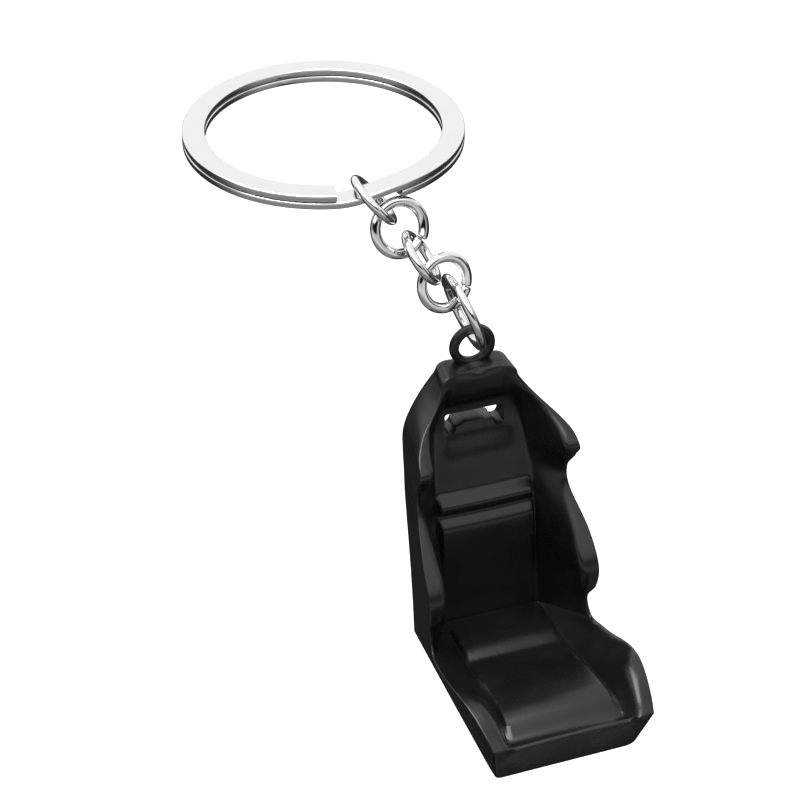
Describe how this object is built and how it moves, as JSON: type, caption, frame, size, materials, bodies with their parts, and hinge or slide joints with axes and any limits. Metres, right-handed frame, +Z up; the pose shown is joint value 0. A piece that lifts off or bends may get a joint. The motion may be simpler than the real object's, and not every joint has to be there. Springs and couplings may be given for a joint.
{
  "type": "key charm",
  "caption": "Key charm: a small cast racing bucket seat hung by a short chain of round wire links from a flat-wire split ring.",
  "frame": {"origin": "middle of the split ring, which lies level; the charm's own hold on a bunch of keys", "axes": "+Z up, along the split ring's axis; -Y is the way the seat faces; +X is the seat's left-hand side to a sitter"},
  "size_m": [0.0362, 0.0623, 0.0562],
  "materials": {
    "nickel": "bright nickel plate on steel wire",
    "black_enamel": "semi-gloss black enamel on a zinc casting"
  },
  "bodies": {
    "ring": {"split_ring": "nickel"},
    "link_1": {"chain_link_1": "nickel"},
    "link_2": {"chain_link_2": "nickel"},
    "link_3": {"chain_link_3": "nickel"},
    "link_4": {"chain_link_4": "nickel"},
    "jump": {"jump_ring": "nickel"},
    "seat": {"seat_charm": "black_enamel"}
  },
  "joints": [
    {"name": "link_1_swing", "type": "hinge", "parent": "ring", "child": "link_1", "pos_m": [0.00012, -0.01378, -0.00002], "axis": [1, 0.0087, 0], "range_deg": [-10, 8]},
    {"name": "link_2_swing", "type": "hinge", "parent": "link_1", "child": "link_2", "pos_m": [0.00256, -0.01459, -0.00294], "axis": [0.2139, 0.9609, -0.1759], "range_deg": [-12, 80]},
    {"name": "link_3_swing", "type": "hinge", "parent": "link_2", "child": "link_3", "pos_m": [0.00455, -0.01566, -0.00636], "axis": [0.8764, 0.2787, 0.3927], "range_deg": [-90, 75]},
    {"name": "link_4_swing", "type": "hinge", "parent": "link_3", "child": "link_4", "pos_m": [0.00679, -0.0164, -0.00969], "axis": [0.2435, 0.9696, 0.0233], "range_deg": [-90, 45]},
    {"name": "jump_ring_swing", "type": "hinge", "parent": "link_4", "child": "jump", "pos_m": [0.00957, -0.01671, -0.0127], "axis": [0.6995, 0.3209, 0.6386], "range_deg": [-60, 45]},
    {"name": "seat_swing", "type": "hinge", "parent": "jump", "child": "seat", "pos_m": [0.01134, -0.01603, -0.01902], "axis": [-0.027, 0.9996, -0.0026], "range_deg": [-45, 45]}
  ]
}
